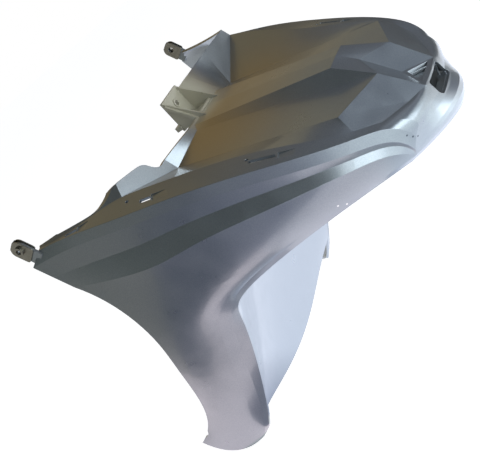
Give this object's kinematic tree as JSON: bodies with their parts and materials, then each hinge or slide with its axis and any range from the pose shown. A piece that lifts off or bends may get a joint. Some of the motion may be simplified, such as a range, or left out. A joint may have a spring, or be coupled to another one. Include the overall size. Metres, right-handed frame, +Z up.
{
  "type": "scooter front panel",
  "caption": "One-piece moulded front apron for a scooter, with a wheel arch, a shallow tray on top, a centre bracket and a clip nut at each upper corner",
  "frame": {"origin": "centre of the screw hole in the bracket at the rear edge of the tray, in the middle of the bracket's wall", "axes": "+X is the rider's left, -Y is the way the scooter drives, +Z is up; millimetres in the source"},
  "size_m": [0.4022, 0.409, 0.3401],
  "materials": {
    "paint": "silver metallic gloss",
    "zinc": "zinc plated"
  },
  "bodies": {
    "root": {"front_panel": "paint", "clip_nut_left": "zinc", "clip_nut_right": "zinc"}
  },
  "joints": []
}
